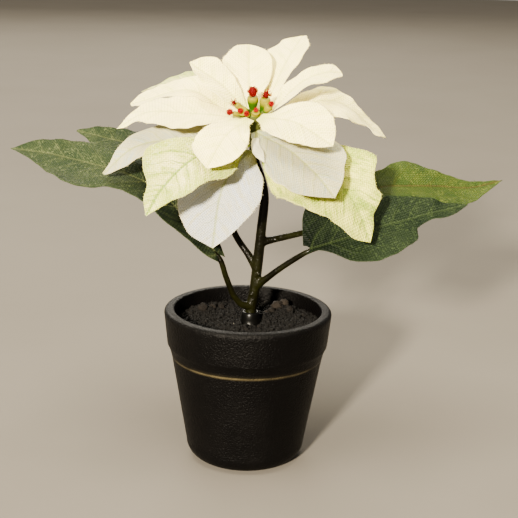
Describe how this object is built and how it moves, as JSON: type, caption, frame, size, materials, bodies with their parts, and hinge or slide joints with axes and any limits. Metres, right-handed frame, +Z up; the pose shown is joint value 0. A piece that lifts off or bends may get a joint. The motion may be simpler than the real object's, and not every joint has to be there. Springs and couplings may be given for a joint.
{
  "type": "potted artificial poinsettia",
  "caption": "Small artificial poinsettia with white cloth bracts and green leaves on a moulded branching stem, standing in a round black plastic pot.",
  "frame": {"origin": "centre of the pot's flat base, where it stands", "axes": "+Z up along the pot's axis; +X to the plant's right seen from its front; -Y towards the plant's front"},
  "size_m": [0.2673, 0.1208, 0.2261],
  "materials": {
    "pot": "black, finely grained, satin",
    "filler": "grey cast filler, never seen",
    "soil": "dark loose crumbs, dull",
    "collar": "black, glossy",
    "stem": "dark olive brown moulding, semi-gloss",
    "buds": "green to yellow moulding, semi-gloss",
    "stamens": "red moulding, semi-gloss",
    "white_cloth": "cream white woven cloth with faint green veins",
    "green_white_cloth": "cream woven cloth, yellow green tint and green veins",
    "leaf_cloth": "green woven cloth with paler veins"
  },
  "bodies": {
    "root": {"pot": "pot", "filler_block": "filler", "soil": "soil", "stem_collar": "collar", "stem": "stem", "flower_head": "buds", "bract_inner_back": "white_cloth", "bract_inner_left": "white_cloth", "bract_inner_right": "white_cloth", "bract_inner_front": "white_cloth", "bract_inner_side": "white_cloth", "bract_middle_back": "white_cloth", "bract_middle_left_back": "white_cloth", "bract_middle_left": "white_cloth", "bract_middle_left_front": "white_cloth", "bract_middle_side": "white_cloth", "bract_middle_right": "white_cloth", "bract_outer_front": "white_cloth", "bract_outer_left_back": "green_white_cloth", "bract_outer_left_front": "green_white_cloth", "bract_outer_right_front": "green_white_cloth", "bract_outer_back": "green_white_cloth", "leaf_left_low": "leaf_cloth", "leaf_left_back": "leaf_cloth", "leaf_right_high": "leaf_cloth", "leaf_right_low": "leaf_cloth", "stamens_1": "stamens", "stamens_2": "stamens", "stamens_3": "stamens", "stamens_4": "stamens", "stamens_5": "stamens", "stamens_6": "stamens", "stamens_7": "stamens", "stamens_8": "stamens"}
  },
  "joints": []
}
